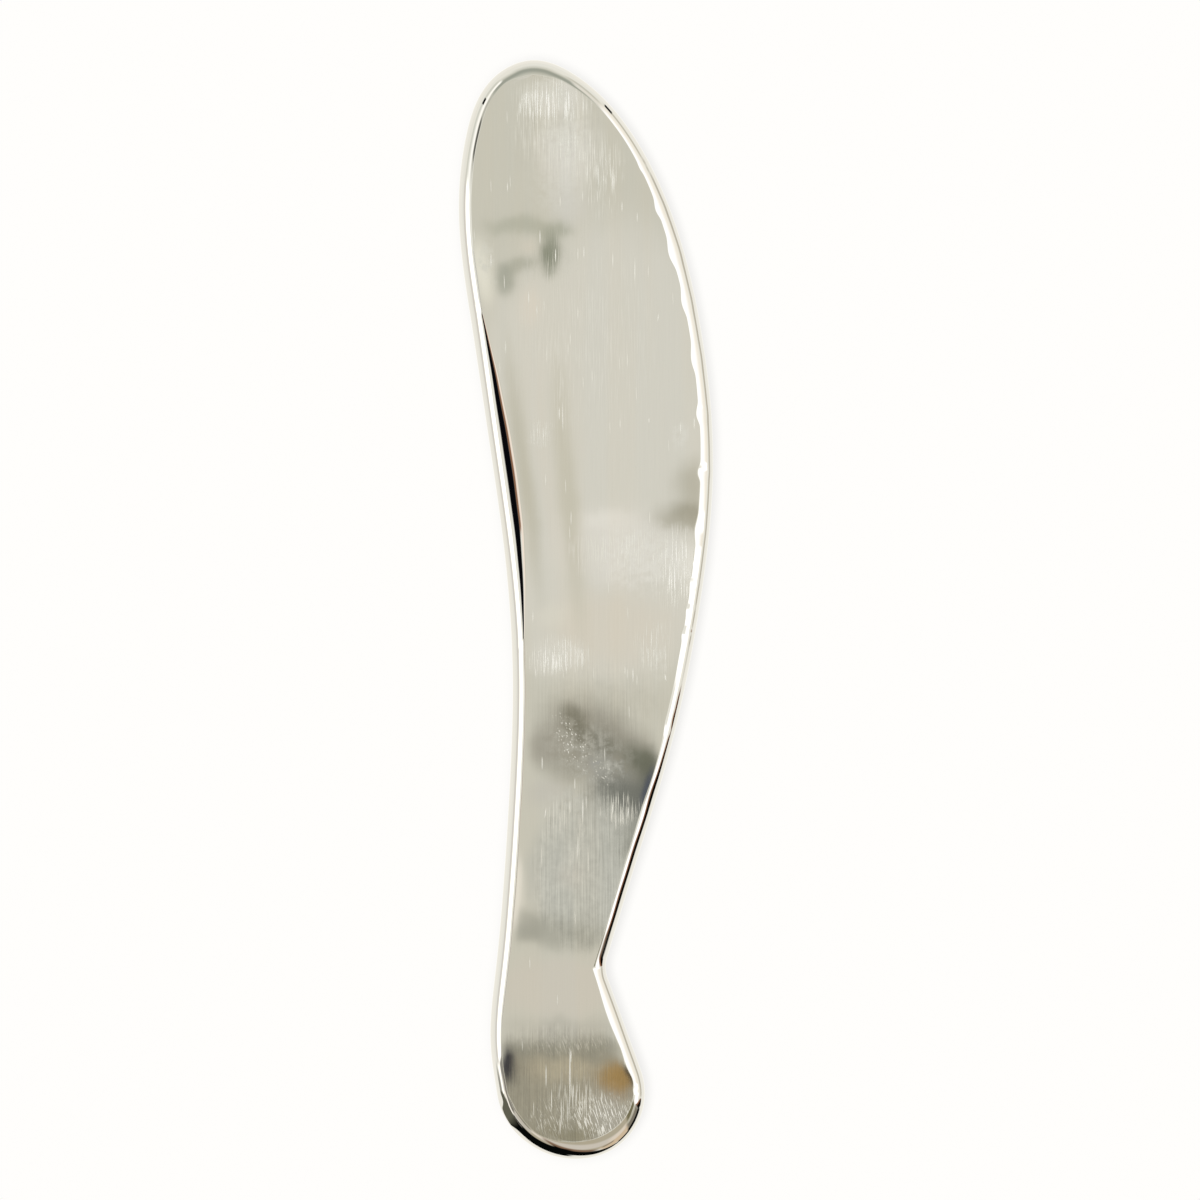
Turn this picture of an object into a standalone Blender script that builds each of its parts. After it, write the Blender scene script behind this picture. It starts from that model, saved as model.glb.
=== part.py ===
# A flat scraping plate for massage, cut and ground from one sheet of stainless steel.
#
# It lies on its underside, with the tail at -Y and the broad tip at +Y. Seen from above, the
# concave edge is on the left (-X) and the convex edge on the right (+X). The outline is drawn
# with its lower left corner at zero, and the finished plate is centred over the origin.
# All lengths are in metres.

import math

import bmesh
import bpy
import numpy as np

# Overall size of the plate
PLATE_LENGTH = 0.180
PLATE_WIDTH = 0.0417
PLATE_THICKNESS = 0.004

# The round end below the neck: its outer side, and the fuller curve of its heel
TAIL_RADIUS = 0.0108
HEEL_RADIUS = 0.0131
HEEL_START_ANGLE = math.radians(14)
HEEL_END_ANGLE = math.radians(9.5)
TAIL_REACH_SHARE = 0.732

# The hollow of the neck, between the convex edge and the flare of the tail
NOTCH_RADIUS = 0.0055
NOTCH_CORNER_SHARES = (0.571, 0.174)

# The ground rim, seen from above: its width from the outline in to the flat face
RIM_WIDTH = 0.0021
TAIL_RIM_WIDTH = 0.0030
NECK_RIM_WIDTH = 0.0017
SHOULDER_RIM_WIDTH = 0.0017
BEVEL_WIDTH = 0.0040
BEVEL_START_SHARE = 0.46
BEVEL_END_SHARE = 0.78

# How much of a quarter turn the rim's section covers before it meets the face at a crease
RIM_SECTION_ANGLE = math.radians(70)

# Places on the two long edges, as shares of the width (across) and of the length (along),
# from the neck up the convex edge to the tip, then down the concave edge to the heel
CONVEX_EDGE_SHARES = (
    (0.700, 0.272),
    (0.820, 0.363),
    (0.951, 0.509),
    (1.000, 0.640),
    (0.959, 0.745),
    (0.816, 0.873),
    (0.642, 0.946),
    (0.462, 0.986),
)
BELLY_PLACE = 3
SHOULDER_PLACE = 6
TIP_SHARES = (0.285, 1.000)
CONCAVE_EDGE_SHARES = (
    (0.128, 0.982),
    (0.027, 0.929),
    (0.000, 0.863),
    (0.048, 0.763),
    (0.119, 0.654),
    (0.183, 0.545),
    (0.212, 0.427),
    (0.203, 0.354),
    (0.177, 0.254),
    (0.145, 0.172),
    (0.125, 0.104),
)

# Fineness of the mesh, and how near two points lie to be one
STEPS_PER_SPAN = 6
STEP_ON_ARCS = math.radians(7.5)
NOTCH_STEPS = 6
FLARE_STEPS = 7
RIM_STEPS = 6
MERGE_DISTANCE = 0.00001

# Polished steel, faintly warm
STEEL_COLOUR = (0.62, 0.60, 0.54, 1.0)
STEEL_ROUGHNESS = 0.09


def clear_scene():
    for obj in list(bpy.data.objects):
        bpy.data.objects.remove(obj, do_unlink=True)


def placed(shares):
    """A place in the outline from its shares of the width and of the length."""
    across_share, along_share = shares
    return np.array([across_share * PLATE_WIDTH, along_share * PLATE_LENGTH])


def direction(angle):
    return np.array([math.cos(angle), math.sin(angle)])


def unit(vector):
    return vector / np.hypot(*vector)


def arc(centre, radius, start, turn, steps):
    angles = [start + turn * k / steps for k in range(steps + 1)]
    return [centre + radius * direction(angle) for angle in angles]


def steps_on(turn):
    return math.ceil(turn / STEP_ON_ARCS)


def smooth_curve(points, start_tangent, end_tangent):
    """A cubic through the points, with steady curvature and given directions at its two ends."""
    spans = np.hypot(*np.diff(points, axis=0).T)
    count = len(points)
    matrix = np.identity(count)
    target = np.zeros((count, 2))
    target[0] = start_tangent
    target[-1] = end_tangent
    for i in range(1, count - 1):
        before = spans[i - 1]
        after = spans[i]
        matrix[i, i - 1 : i + 2] = (after, 2 * (before + after), before)
        rise_before = (points[i] - points[i - 1]) * after / before
        rise_after = (points[i + 1] - points[i]) * before / after
        target[i] = 3 * (rise_before + rise_after)
    tangents = np.linalg.solve(matrix, target)
    curve = []
    for i in range(count - 1):
        for k in range(STEPS_PER_SPAN):
            t = k / STEPS_PER_SPAN
            ends = points[i] * (1 - t) ** 2 * (1 + 2 * t) + points[i + 1] * t**2 * (3 - 2 * t)
            pull = tangents[i] * t * (1 - t) ** 2 - tangents[i + 1] * t**2 * (1 - t)
            curve.append(ends + spans[i] * pull)
    curve.append(points[-1])
    return curve


def tail_runs(corner):
    """The heel's arc, the tail's arc, and the straight flare that leads up to the notch's corner."""
    contact = HEEL_START_ANGLE - math.pi / 2
    heel_start = HEEL_END_ANGLE - math.pi
    centre_gap = (HEEL_RADIUS - TAIL_RADIUS) * direction(contact)
    tail_across = TAIL_REACH_SHARE * PLATE_WIDTH - TAIL_RADIUS
    heel_centre = np.array([tail_across - centre_gap[0], HEEL_RADIUS])
    tail_centre = heel_centre + centre_gap

    away = corner - tail_centre
    flare_angle = math.atan2(away[1], away[0]) - math.acos(TAIL_RADIUS / np.hypot(*away))
    heel_turn = contact - heel_start
    tail_turn = flare_angle - contact
    heel = arc(heel_centre, HEEL_RADIUS, heel_start, heel_turn, steps_on(heel_turn))
    tail = arc(tail_centre, TAIL_RADIUS, contact, tail_turn, steps_on(tail_turn))
    return heel, tail, direction(heel_start + math.pi / 2)


def notch_arc(corner, up, down):
    """The arc that rounds the notch's corner, from the flare to the convex edge, and half its turn."""
    half_turn = (math.pi - math.acos(np.dot(up, down))) / 2
    centre = corner + unit(up + down) * NOTCH_RADIUS / math.cos(half_turn)
    first = corner + down * NOTCH_RADIUS * math.tan(half_turn) - centre
    start = math.atan2(first[1], first[0])
    return arc(centre, NOTCH_RADIUS, start, -2 * half_turn, NOTCH_STEPS), half_turn


def outline():
    """The plate's outline, anticlockwise from the heel, and the rim's width at each point."""
    corner = placed(NOTCH_CORNER_SHARES)
    shares = CONVEX_EDGE_SHARES + (TIP_SHARES,) + CONCAVE_EDGE_SHARES
    long_edge = [placed(pair) for pair in shares]

    heel, tail, heel_tangent = tail_runs(corner)
    up = unit(long_edge[0] - corner)
    down = unit(tail[-1] - corner)
    notch, half_turn = notch_arc(corner, up, down)
    flare = [tail[-1] + (notch[0] - tail[-1]) * k / FLARE_STEPS for k in range(FLARE_STEPS + 1)]
    edge = smooth_curve(np.array([notch[-1], *long_edge, heel[0]]), up, heel_tangent)

    runs = [run[:-1] for run in (heel, tail, flare, notch, edge)]
    points = np.array([point for run in runs for point in run])
    heel_at, tail_at, flare_at, notch_at, edge_at = np.cumsum([0] + [len(run) for run in runs[:-1]])
    belly_at = edge_at + STEPS_PER_SPAN * (BELLY_PLACE + 1)
    shoulder_at = edge_at + STEPS_PER_SPAN * (SHOULDER_PLACE + 1)
    tip_at = edge_at + STEPS_PER_SPAN * (len(CONVEX_EDGE_SHARES) + 1)
    places = (
        (heel_at, RIM_WIDTH),
        (tail_at, TAIL_RIM_WIDTH),
        (flare_at, NECK_RIM_WIDTH),
        (edge_at, NECK_RIM_WIDTH),
        (belly_at, RIM_WIDTH),
        (shoulder_at, SHOULDER_RIM_WIDTH),
        (tip_at, RIM_WIDTH),
        (len(points), RIM_WIDTH),
    )
    widths = eased_widths(points, places)
    widths[notch_at : edge_at + 1] += notch_extra(half_turn)
    widths[tip_at:] += [bevel_extra(point) for point in points[tip_at:]]
    return points, widths


def eased_widths(points, places):
    """The rim's width at each point, easing along the outline from one place to the next."""
    closed = np.vstack([points, points[:1]])
    run = np.concatenate([[0], np.cumsum(np.hypot(*np.diff(closed, axis=0).T))])
    widths = np.zeros(len(points))
    for (start, first), (end, last) in zip(places, places[1:]):
        share = (run[start:end] - run[start]) / (run[end] - run[start])
        widths[start:end] = first + (last - first) * (1 - np.cos(math.pi * share)) / 2
    return widths


def notch_extra(half_turn):
    """The rim's inner line keeps a sharp corner at the notch, where the outline is rounded."""
    turned = np.linspace(-half_turn, half_turn, NOTCH_STEPS + 1)
    from_end = half_turn - np.abs(turned)
    return (NOTCH_RADIUS + NECK_RIM_WIDTH) * (1 / np.cos(from_end) - 1)


def bevel_extra(point):
    """The long, shallow bevel in the upper half of the concave edge."""
    along_share = point[1] / PLATE_LENGTH
    run_share = (along_share - BEVEL_START_SHARE) / (BEVEL_END_SHARE - BEVEL_START_SHARE)
    if not 0 < run_share < 1:
        return 0
    return (BEVEL_WIDTH - RIM_WIDTH) * math.sin(math.pi * run_share) ** 2


def inward_normals(points):
    along = np.roll(points, -1, axis=0) - np.roll(points, 1, axis=0)
    inward = np.column_stack([-along[:, 1], along[:, 0]])
    return inward / np.hypot(*inward.T)[:, None]


def rim_rings(points, widths):
    """Rings of points, from the outline at mid thickness up to the crease round the face."""
    centred = points - (points.min(axis=0) + points.max(axis=0)) / 2
    normals = inward_normals(points)
    rings = []
    for k in range(RIM_STEPS + 1):
        turned = RIM_SECTION_ANGLE * k / RIM_STEPS
        inset_share = (1 - math.cos(turned)) / (1 - math.cos(RIM_SECTION_ANGLE))
        height_share = math.sin(turned) / math.sin(RIM_SECTION_ANGLE)
        flat = centred + normals * (widths * inset_share)[:, None]
        height = np.full((len(flat), 1), height_share * PLATE_THICKNESS / 2)
        rings.append(np.hstack([flat, height]))
    return rings


def upper_half(rings):
    """The half of the plate above mid thickness: its rim, skinned ring by ring, and its face."""
    bm = bmesh.new()
    loops = [[bm.verts.new(place) for place in ring] for ring in rings]
    count = len(loops[0])
    for lower, upper in zip(loops, loops[1:]):
        for i in range(count):
            j = (i + 1) % count
            bm.faces.new((lower[i], lower[j], upper[j], upper[i])).smooth = True
    face = bm.faces.new(loops[-1])
    for edge in face.edges:
        edge.smooth = False
    mesh = bpy.data.meshes.new("scraper_plate")
    bm.to_mesh(mesh)
    bm.free()
    return mesh


def steel():
    material = bpy.data.materials.new("polished_steel")
    material.use_nodes = True
    shader = material.node_tree.nodes["Principled BSDF"]
    shader.inputs["Base Color"].default_value = STEEL_COLOUR
    shader.inputs["Metallic"].default_value = 1.0
    shader.inputs["Roughness"].default_value = STEEL_ROUGHNESS
    return material


def scraper_plate():
    """The whole plate. Its underside mirrors its upper side, and it rests at height zero."""
    points, widths = outline()
    plate = bpy.data.objects.new("scraper_plate", upper_half(rim_rings(points, widths)))
    bpy.context.scene.collection.objects.link(plate)
    plate.data.materials.append(steel())
    mirror = plate.modifiers.new("underside", "MIRROR")
    mirror.use_axis = (False, False, True)
    mirror.merge_threshold = MERGE_DISTANCE
    plate.location.z = PLATE_THICKNESS / 2
    return plate


clear_scene()
scraper_plate()
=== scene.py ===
# A mirror-polished steel scraping plate on a pale table, seen from straight above.
# Its outline and rim follow the same rule as the solid: two arcs at the tail, a rounded notch,
# and one smooth curve up the convex edge, round the tip and down the concave edge.

import math

import bpy
import numpy as np
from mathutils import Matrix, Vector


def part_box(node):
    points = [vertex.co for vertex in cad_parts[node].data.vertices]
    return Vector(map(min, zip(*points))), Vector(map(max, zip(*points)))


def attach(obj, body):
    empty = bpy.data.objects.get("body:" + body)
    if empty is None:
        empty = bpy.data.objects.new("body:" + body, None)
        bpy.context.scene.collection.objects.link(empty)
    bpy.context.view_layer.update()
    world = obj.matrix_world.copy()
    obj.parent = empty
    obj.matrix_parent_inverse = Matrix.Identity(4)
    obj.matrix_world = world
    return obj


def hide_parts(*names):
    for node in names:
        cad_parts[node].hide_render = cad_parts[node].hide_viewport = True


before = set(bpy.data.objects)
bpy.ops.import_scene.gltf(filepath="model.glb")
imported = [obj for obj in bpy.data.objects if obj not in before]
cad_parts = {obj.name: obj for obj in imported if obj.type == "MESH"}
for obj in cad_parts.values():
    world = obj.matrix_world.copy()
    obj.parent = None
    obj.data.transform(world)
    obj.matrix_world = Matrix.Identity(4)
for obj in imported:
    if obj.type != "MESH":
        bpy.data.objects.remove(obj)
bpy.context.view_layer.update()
plateLow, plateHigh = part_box("scraper_plate")
mm = 0.001


# Small helpers for node trees

def feed(tree, socket, value):
    # a link where the value is another node's socket, else a fixed value or an opaque colour
    if isinstance(value, bpy.types.NodeSocket):
        tree.links.new(value, socket)
    else:
        socket.default_value = (*value, 1.0) if socket.type == "RGBA" else value


def addNode(tree, kind, values=(), **settings):
    # a node with its settings, and its inputs fed by name or by number
    node = tree.nodes.new(kind)
    for key, value in settings.items():
        setattr(node, key, value)
    for key, value in dict(values).items():
        if value is not None:
            feed(tree, node.inputs[key], value)
    return node


def calc(tree, operation, a, b=None, clamp=False):
    node = addNode(tree, "ShaderNodeMath", {0: a, 1: b}, operation=operation, use_clamp=clamp)
    return node.outputs[0]


def plus(tree, a, b):
    return calc(tree, "ADD", a, b)


def minus(tree, a, b):
    return calc(tree, "SUBTRACT", a, b)


def times(tree, a, *others):
    for other in others:
        a = calc(tree, "MULTIPLY", a, other)
    return a


def vectorCalc(tree, operation, a, b=None, scale=None):
    node = addNode(tree, "ShaderNodeVectorMath", {0: a, 1: b, "Scale": scale},
                   operation=operation)
    single = operation in ("DOT_PRODUCT", "LENGTH")
    return node.outputs["Value" if single else "Vector"]


def flattened(tree, place):
    return vectorCalc(tree, "MULTIPLY", place, (1.0, 1.0, 0.0))


def combined(tree, *parts):
    return addNode(tree, "ShaderNodeCombineXYZ", enumerate(parts)).outputs[0]


def split(tree, vector):
    return addNode(tree, "ShaderNodeSeparateXYZ", {0: vector}).outputs


def ease(tree, value, low, high, toLow=0.0, toHigh=1.0):
    # a soft step from toLow at low to toHigh at high
    values = {"Value": value, "From Min": low, "From Max": high, "To Min": toLow,
              "To Max": toHigh}
    node = addNode(tree, "ShaderNodeMapRange", values, interpolation_type="SMOOTHSTEP")
    return node.outputs["Result"]


def blendColour(tree, share, a, b):
    return addNode(tree, "ShaderNodeMix", {0: share, 6: a, 7: b}, data_type="RGBA").outputs[2]


def blendVector(tree, share, a, b):
    return addNode(tree, "ShaderNodeMix", {0: share, 4: a, 5: b}, data_type="VECTOR").outputs[1]


def noiseAt(tree, place, scale, detail, rough):
    values = {"Vector": place, "Scale": scale, "Detail": detail, "Roughness": rough}
    return addNode(tree, "ShaderNodeTexNoise", values, noise_dimensions="2D")


def fitted(tree, place, centre, size, turn):
    # coordinates that are 0 at the centre and one unit long over the size
    values = {"Vector": place, "Location": (*centre, 0.0),
              "Rotation": (0.0, 0.0, math.radians(turn)), "Scale": (*size, 1.0)}
    node = addNode(tree, "ShaderNodeMapping", values, vector_type="TEXTURE")
    return node.outputs["Vector"]


def streakNoise(tree, place, start, size, detail, rough, turn=0):
    # noise drawn out over the size
    return noiseAt(tree, fitted(tree, place, start, size, turn), 1.0, detail, rough)


def pushed(tree, place, noise, amount):
    # a level place moved by a noise, so that soft edges come out uneven
    push = vectorCalc(tree, "SUBTRACT", noise.outputs["Color"], (0.5, 0.5, 0.5))
    return vectorCalc(tree, "ADD", place, vectorCalc(tree, "MULTIPLY", push, (*amount, 0.0)))


def softSpot(tree, place, centre, size, turn, core, strength):
    # a soft ellipse: full strength inside the core share of its size, nothing outside
    away = vectorCalc(tree, "LENGTH", fitted(tree, place, centre, size, turn))
    return ease(tree, away, core, 1.0, strength, 0.0)


# The plate's outline

plateShape = {
    "length": plateHigh.y - plateLow.y,
    "width": plateHigh.x - plateLow.x,
    "thickness": plateHigh.z - plateLow.z,
    # the round end: the tail's arc on the right, and the heel's from so many degrees right of
    # straight down to so many below straight left
    "tailRadius": 10.8 * mm,
    "heelRadius": 13.1 * mm,
    "heelStart": 14.0,
    "heelEnd": 9.5,
    # how far across the tail reaches, as a share of the width
    "tailReach": 0.732,
    # the notch, as shares of the width and of the length
    "notchCorner": (0.571, 0.174),
    "notchRadius": 5.5 * mm,
    # the long edges and the tip, as shares of the width and of the length
    "convexEdge": ((0.7, 0.272), (0.82, 0.363), (0.951, 0.509), (1.0, 0.64),
                   (0.959, 0.745), (0.816, 0.873), (0.642, 0.946), (0.462, 0.986)),
    "tip": (0.285, 1.0),
    "concaveEdge": ((0.128, 0.982), (0.027, 0.929), (0.0, 0.863), (0.048, 0.763),
                    (0.119, 0.654), (0.183, 0.545), (0.212, 0.427), (0.203, 0.354),
                    (0.177, 0.254), (0.145, 0.172), (0.125, 0.104)),
    # which points of the convex edge are its belly and its shoulder, counted from 0
    "bellyPlace": 3,
    "shoulderPlace": 6,
    # how far the rim reaches in from the outline
    "rim": 2.1 * mm,
    "tailRim": 3.0 * mm,
    "neckRim": 1.7 * mm,
    "shoulderRim": 1.75 * mm,
    "heelRim": 1.7 * mm,
    # the long bevel of the concave edge, inside the rim: its widest, and its two ends
    "bevel": 1.85 * mm,
    "bevelRun": (0.46, 0.78),
    # how fast the bevelled section comes in at the bevel's ends
    "bevelBlend": 8,
    # a slow wander of the rim's width: how far, and its waves round the plate with their starts
    "rimWander": 0.03 * mm,
    "wanderWaves": ((29, 0.0), (47, 1.3)),
    # the wheel's marks: how uneven each is, and how many points of the tail's arc they reach
    "biteLean": 0.35,
    "tailBite": 140,
    # how finely the outline and the skin are laid out
    "curveSteps": 60,
    "heelSteps": 120,
    "tailSteps": 160,
    "rows": 700,
    "faceSteps": 16,
    # the outline's size as a share of the solid's, to stay inside it
    "insideShare": 0.99999,
}

# the rim's section: the angle that its arc turns, and how far its crease is rounded,
# as a share of the rim's width, with the steps of the arc and of the rounding
rimSections = {
    "angle": 70.0,
    "crisp": (0.06, 16, 3),
    "soft": (0.6, 9, 10),
    # a flat ground by hand on the heel: a land as a share of half the thickness, upright for
    # most of it, then the skin's tilt in degrees at shares of the rim's width
    "heelLand": 0.3,
    "uprightShare": 0.9,
    "heelTilts": ((0.015, 44.0), (0.08, 43.0), (0.15, 42.0), (0.22, 41.5), (0.3, 41.0),
                  (0.38, 40.5), (0.48, 40.0), (0.59, 39.5), (0.7, 38.0), (0.73, 28.0),
                  (0.78, 25.2), (0.83, 23.0), (0.88, 21.0), (0.96, 18.5), (1.04, 18.0),
                  (1.13, 15.5), (1.2, 8.0), (1.25, 0.0)),
    # the long bevel: the share of the rim at which it starts, and its tilts in degrees
    "bevelAt": 0.905,
    "bevelTilts": ((0.0, 12.8), (0.28, 12.3), (0.52, 11.4), (0.64, 10.2), (0.75, 9.0),
                   (0.86, 7.8), (0.95, 6.2), (1.02, 3.5), (1.07, 0.0)),
    # how far the last point of each section lies in on the face
    "faceLip": 0.02,
    # compass angles of the rim, anticlockwise from +X, over which each section holds
    "softArc": (52.0, 76.0, 108.0, 132.0),
    "heelArc": (187.0, 202.0, 212.0, 236.0),
}

# where the wheel took more or less of the face, along the flare and the convex edge:
# share of the length, depth, reach
grindMarks = (
    (0.845, 0.26 * mm, 14.0 * mm),
    (0.906, 0.12 * mm, 1.4 * mm), (0.868, 0.34 * mm, 2.1 * mm), (0.827, 0.46 * mm, 3.2 * mm),
    (0.782, 0.4 * mm, 3.0 * mm), (0.73, 0.38 * mm, 3.2 * mm), (0.679, 0.46 * mm, 2.3 * mm),
    (0.625, 0.46 * mm, 1.9 * mm), (0.572, 0.4 * mm, 3.2 * mm), (0.522, 0.16 * mm, 1.6 * mm),
    (0.498, 0.14 * mm, 1.4 * mm), (0.476, 0.22 * mm, 1.6 * mm), (0.395, 0.1 * mm, 2.4 * mm),
    (0.363, -0.24 * mm, 9.0 * mm), (0.137, 0.42 * mm, 8.5 * mm), (0.092, 0.22 * mm, 3.0 * mm),
    (0.066, 0.13 * mm, 1.3 * mm),
)


def towards(angle):
    return np.array([math.cos(angle), math.sin(angle)])


def unit(vector):
    return vector / np.hypot(*vector)


def arc(centre, radius, start, turn, steps):
    return [centre + radius * towards(start + turn * k / steps) for k in range(steps + 1)]


def smoothCurve(points, startTangent, endTangent, steps):
    # a cubic through the points with steady curvature
    spans = np.hypot(*np.diff(points, axis=0).T)
    count = len(points)
    matrix = np.identity(count)
    target = np.zeros((count, 2))
    target[0], target[-1] = startTangent, endTangent
    for i in range(1, count - 1):
        before, after = spans[i - 1], spans[i]
        matrix[i, i - 1:i + 2] = (after, 2 * (before + after), before)
        target[i] = 3 * ((points[i] - points[i - 1]) * after / before
                         + (points[i + 1] - points[i]) * before / after)
    tangents = np.linalg.solve(matrix, target)
    curve = []
    for i in range(count - 1):
        for k in range(steps):
            t = k / steps
            ends = points[i] * (1 - t) ** 2 * (1 + 2 * t) + points[i + 1] * t**2 * (3 - 2 * t)
            pull = tangents[i] * t * (1 - t) ** 2 - tangents[i + 1] * t**2 * (1 - t)
            curve.append(ends + spans[i] * pull)
    curve.append(points[-1])
    return curve


def plateOutline(shape):
    # points anticlockwise from the heel, and the rim's width at each
    steps = shape["curveSteps"]
    size = np.array([shape["width"], shape["length"]])
    corner = np.array(shape["notchCorner"]) * size
    longEdge = [np.array(pair) * size for pair in
                (*shape["convexEdge"], shape["tip"], *shape["concaveEdge"])]

    contact = math.radians(shape["heelStart"]) - math.pi / 2
    heelStart = math.radians(shape["heelEnd"]) - math.pi
    gap = (shape["heelRadius"] - shape["tailRadius"]) * towards(contact)
    tailAcross = shape["tailReach"] * shape["width"] - shape["tailRadius"]
    heelCentre = np.array([tailAcross - gap[0], shape["heelRadius"]])
    tailCentre = heelCentre + gap
    away = corner - tailCentre
    flareAngle = math.atan2(away[1], away[0]) - math.acos(shape["tailRadius"] / np.hypot(*away))
    heel = arc(heelCentre, shape["heelRadius"], heelStart, contact - heelStart,
               shape["heelSteps"])
    tail = arc(tailCentre, shape["tailRadius"], contact, flareAngle - contact,
               shape["tailSteps"])

    up, down = unit(longEdge[0] - corner), unit(tail[-1] - corner)
    halfTurn = (math.pi - math.acos(np.dot(up, down))) / 2
    centre = corner + unit(up + down) * shape["notchRadius"] / math.cos(halfTurn)
    first = corner + down * shape["notchRadius"] * math.tan(halfTurn) - centre
    notch = arc(centre, shape["notchRadius"], math.atan2(first[1], first[0]), -2 * halfTurn,
                steps)
    flare = [tail[-1] + (notch[0] - tail[-1]) * k / steps for k in range(steps + 1)]
    edge = smoothCurve(np.array([notch[-1], *longEdge, heel[0]]), up,
                       towards(heelStart + math.pi / 2), steps)

    runs = [run[:-1] for run in (heel, tail, flare, notch, edge)]
    points = np.array([point for run in runs for point in run])
    heelAt, tailAt, flareAt, notchAt, edgeAt = np.cumsum([0] + [len(run) for run in runs[:-1]])
    lowAt = len(points) - 2 * steps
    bellyAt = edgeAt + steps * (shape["bellyPlace"] + 1)
    shoulderAt = edgeAt + steps * (shape["shoulderPlace"] + 1)
    tipAt = edgeAt + steps * (len(shape["convexEdge"]) + 1)

    # the rim's width eases from one place to the next
    closed = np.vstack([points, points[:1]])
    run = np.concatenate([[0], np.cumsum(np.hypot(*np.diff(closed, axis=0).T))])
    places = ((heelAt, "heelRim"), (tailAt, "tailRim"), (flareAt, "neckRim"),
              (edgeAt, "neckRim"), (bellyAt, "rim"), (shoulderAt, "shoulderRim"),
              (tipAt, "rim"), (lowAt, "rim"), (len(points), "heelRim"))
    widths = np.zeros(len(points))
    for (start, a), (end, b) in zip(places, places[1:]):
        share = (run[start:end] - run[start]) / (run[end] - run[start])
        widths[start:end] = shape[a] + (shape[b] - shape[a]) * (1 - np.cos(math.pi * share)) / 2

    # a sharp inner corner at the notch
    turned = halfTurn - np.abs(np.linspace(-halfTurn, halfTurn, edgeAt - notchAt + 1))
    reach = shape["notchRadius"] + shape["neckRim"]
    widths[notchAt:edgeAt + 1] += reach * (1 / np.cos(turned) - 1)

    # the long bevel of the concave edge
    start, end = shape["bevelRun"]
    along = (points[tipAt:, 1] / shape["length"] - start) / (end - start)
    bevel = np.zeros(len(points))
    bevel[tipAt:] = np.where((along > 0) & (along < 1), np.sin(math.pi * along), 0)

    # the wheel's marks, and a slow wander all round
    bitten = slice(flareAt - shape["tailBite"], tipAt)
    for share, depth, reach in grindMarks:
        off = (points[bitten, 1] - share * shape["length"]) / reach
        bite = np.cos(off * math.pi / 2) ** 2 * (1 - shape["biteLean"] * off)
        widths[bitten] += depth * np.where(np.abs(off) < 1, bite, 0)
    turns = 2 * math.pi * run[:-1] / run[-1]
    waves = [np.sin(count * turns + start) for count, start in shape["wanderWaves"]]
    widths += shape["rimWander"] * sum(waves) / len(waves)
    return points, widths, bevel


def onArc(angle, arcEnds):
    # 1 between the two middle angles, easing to 0 at the outer two
    a, b, c, d = arcEnds
    share = np.minimum((angle - a) / (b - a), (d - angle) / (d - c))
    share = np.clip(share, 0, 1)
    return share * share * (3 - 2 * share)


def halfChains(shape, sections):
    # the outline as two chains of equal count, both from the lowest point of the tail to the tip:
    # place, inward direction, rim width, bevel width, and the weights of the soft, of the ground
    # and of the bevelled section
    points, widths, bevel = plateOutline(shape)
    along = np.roll(points, -1, axis=0) - np.roll(points, 1, axis=0)
    inward = np.column_stack([-along[:, 1], along[:, 0]])
    inward /= np.hypot(*inward.T)[:, None]
    compass = np.degrees(np.arctan2(-inward[:, 1], -inward[:, 0])) % 360
    low, high = points.min(axis=0), points.max(axis=0)
    grow = np.array([shape["width"], shape["length"]]) / (high - low)
    points = (points - (low + high) / 2) * grow * shape["insideShare"]
    data = np.column_stack([points, inward, widths, bevel * shape["bevel"],
                            onArc(compass, sections["softArc"]),
                            onArc(compass, sections["heelArc"]),
                            np.clip(bevel * shape["bevelBlend"], 0, 1)])

    tailAt = int(np.argmin(points[:, 1]))
    tipAt = int(np.argmax(points[:, 1]))
    right = data[tailAt:tipAt + 1]
    left = np.vstack([data[tipAt:], data[:tailAt + 1]])[::-1]
    chains = []
    for chain in (left, right):
        run = np.concatenate([[0], np.cumsum(np.hypot(*np.diff(chain[:, :2], axis=0).T))])
        stops = np.linspace(0, run[-1], shape["rows"])
        chains.append(np.column_stack([np.interp(stops, run, column) for column in chain.T]))
    return chains


def roundedSection(sections, name):
    # shares of the rim's width (inward) and of half the thickness (upward), outline to face
    roll, arcSteps, rollSteps = sections[name]
    whole = math.radians(sections["angle"])
    span = 1 - math.cos(whole)
    last = math.acos(1 - (1 - roll / 2) * span)
    section = []
    for k in range(arcSteps + 1):
        turned = last * k / arcSteps
        section.append(((1 - math.cos(turned)) / span, math.sin(turned) / math.sin(whole)))
    inset, height = section[-1]
    slope = math.cos(last) / math.sin(last) * span / math.sin(whole)
    for k in range(1, rollSteps + 1):
        t = k / rollSteps
        section.append((inset + roll * t, height + slope * roll * (t - t * t / 2)))
    top = section[-1][1]
    flat = [(section[-1][0] + sections["faceLip"], top)]
    return [(inset, height / top) for inset, height in section + flat]


def tiltedRun(tilts):
    # heights over a run whose tilt changes from place to place, and its whole rise
    insets, angles = np.array(tilts).T
    slopes = np.tan(np.radians(angles))
    rises = np.concatenate([[0], np.cumsum((slopes[1:] + slopes[:-1]) / 2 * np.diff(insets))])
    return insets, rises / rises[-1], rises[-1]


def groundSection(sections):
    # an upright land, then a flat and two narrow ridges before the face
    insets, rises, _ = tiltedRun(sections["heelTilts"])
    land = sections["heelLand"]
    heights = land + (1 - land) * rises
    return [(0.0, 0.0), (0.0, land * sections["uprightShare"]), *zip(insets, heights),
            (insets[-1] + sections["faceLip"], 1.0)]


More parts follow.
